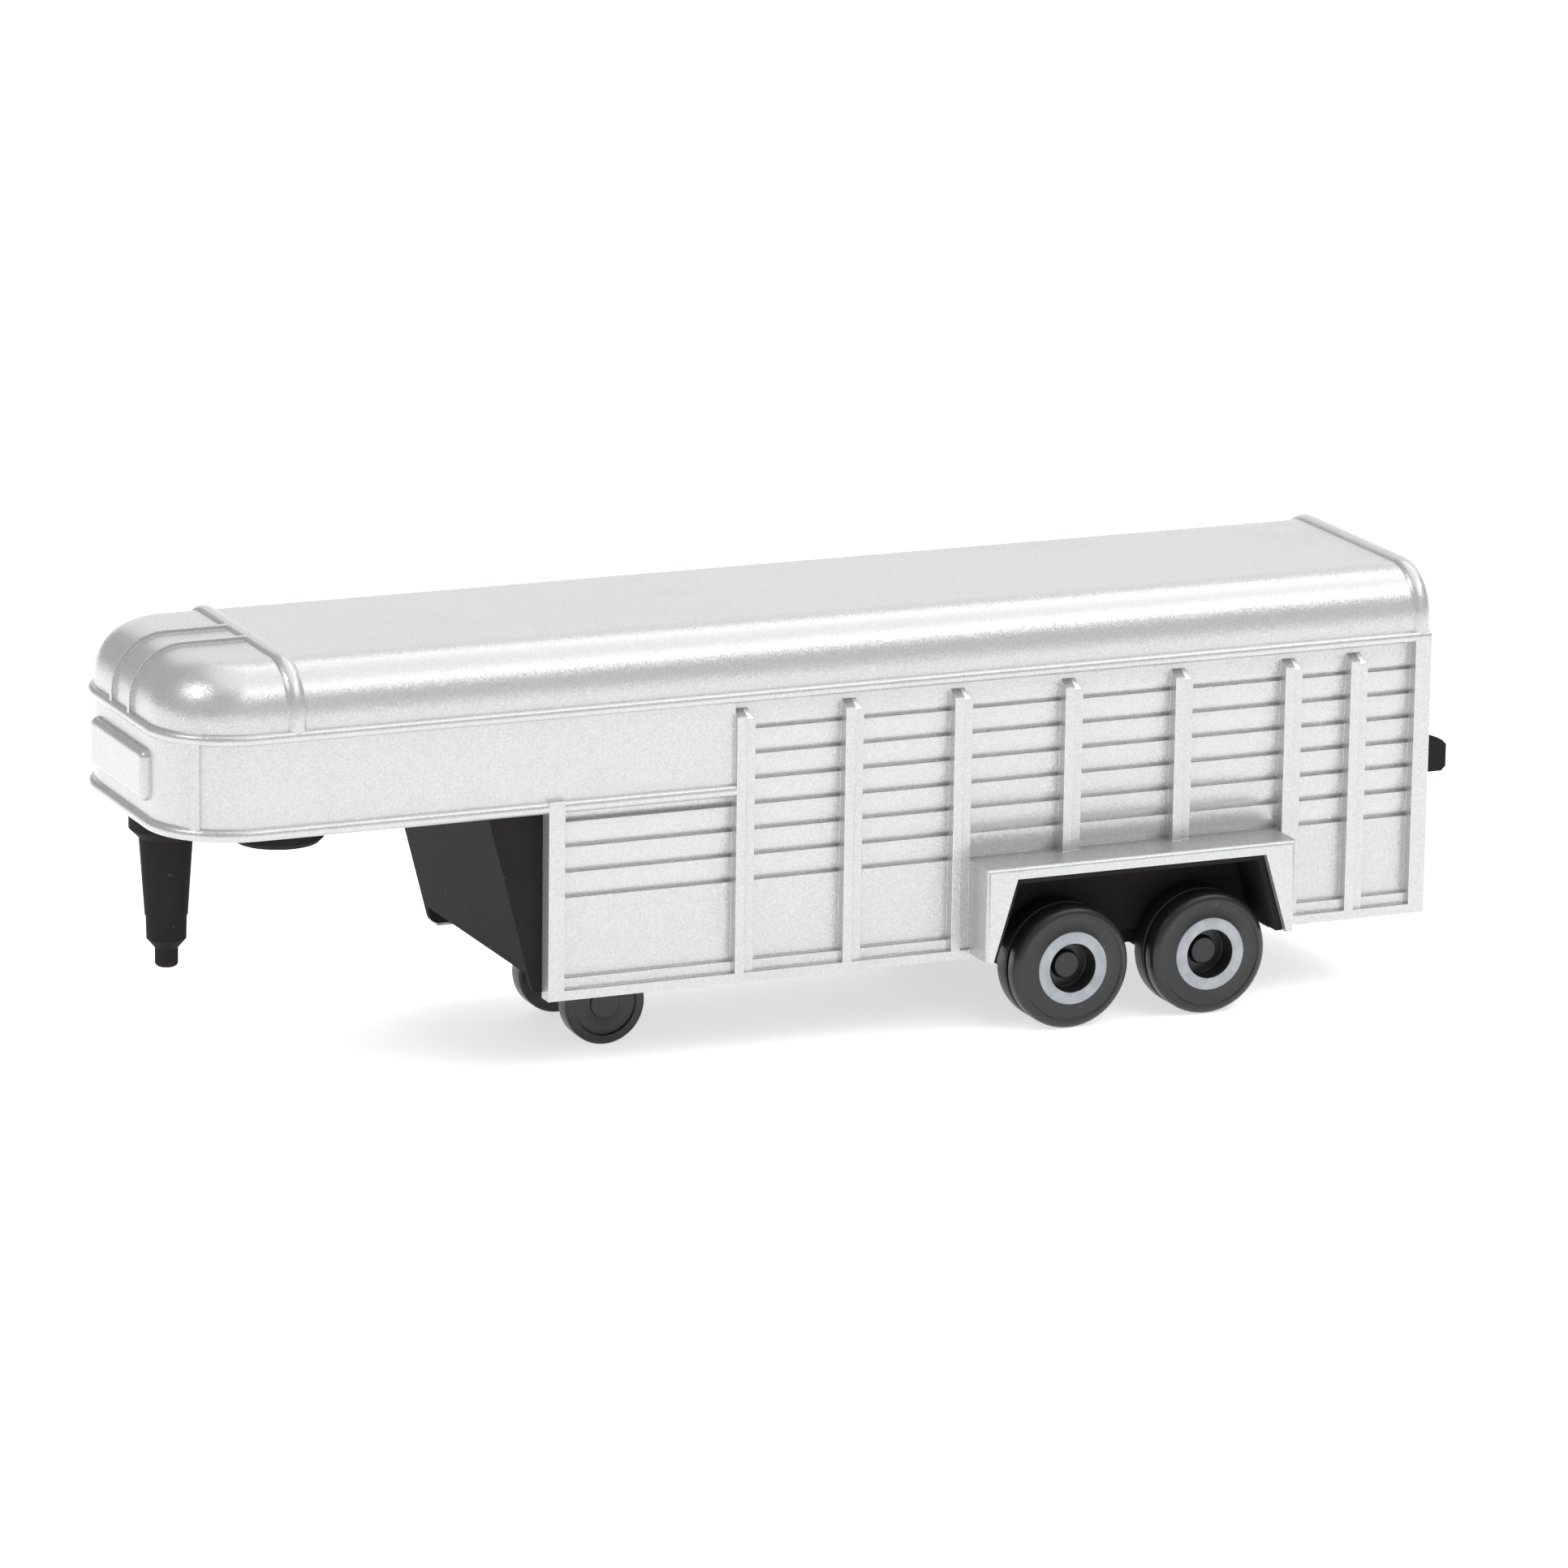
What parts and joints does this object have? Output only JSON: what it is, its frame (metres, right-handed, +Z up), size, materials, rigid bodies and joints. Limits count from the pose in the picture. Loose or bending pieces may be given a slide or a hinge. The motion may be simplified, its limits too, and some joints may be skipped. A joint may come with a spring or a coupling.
{
  "type": "toy livestock trailer",
  "caption": "Miniature gooseneck livestock trailer with louvred sides, a raised round-cornered nose, fenders over tandem wheels, a hitch post and a swinging tail gate.",
  "frame": {"origin": "on the ground, midway along the whole length and on the middle plane of the trailer", "axes": "+X forward towards the nose, +Y to the trailer's left, +Z up"},
  "size_m": [0.1444, 0.0418, 0.0455],
  "materials": {
    "shell_paint": "silver lacquer with a fine metallic flake over die-cast zinc, semi-gloss",
    "base_plastic": "moulded black, satin",
    "wheel_plastic": "moulded black with a light-grey printed ring, semi-gloss",
    "axle_steel": "bright drawn wire",
    "rivet_metal": "peened"
  },
  "bodies": {
    "trailer": {"body_shell": "shell_paint", "floor_pan": "base_plastic", "bulkhead": "base_plastic", "nose_base": "base_plastic", "hitch_post": "base_plastic", "wheel_liner_left": "base_plastic", "wheel_liner_right": "base_plastic", "axle_carrier": "base_plastic", "support_bracket": "base_plastic", "gate_hinge_pin": "axle_steel", "base_rivets": "rivet_metal"},
    "gate": {"tail_gate": "base_plastic"},
    "front_wheelset": {"front_axle": "axle_steel", "wheel_front_left": "wheel_plastic", "wheel_front_right": "wheel_plastic"},
    "rear_wheelset": {"rear_axle": "axle_steel", "wheel_rear_left": "wheel_plastic", "wheel_rear_right": "wheel_plastic"},
    "support_wheelset": {"support_axle": "axle_steel", "support_wheel_left": "wheel_plastic", "support_wheel_right": "wheel_plastic"}
  },
  "joints": [
    {"name": "gate_swing", "type": "hinge", "parent": "trailer", "child": "gate", "pos_m": [-0.0678, -0.0134, 0.009], "axis": [0, 0, 1], "range_deg": [0, 100]},
    {"name": "front_wheels_roll", "type": "hinge", "parent": "trailer", "child": "front_wheelset", "pos_m": [-0.0261, 0, 0.0066], "axis": [0, 1, 0], "continuous": true},
    {"name": "rear_wheels_roll", "type": "hinge", "parent": "trailer", "child": "rear_wheelset", "pos_m": [-0.042, 0, 0.0066], "axis": [0, 1, 0], "continuous": true},
    {"name": "support_wheels_roll", "type": "hinge", "parent": "trailer", "child": "support_wheelset", "pos_m": [0.0216, 0, 0.0044], "axis": [0, 1, 0], "continuous": true}
  ]
}
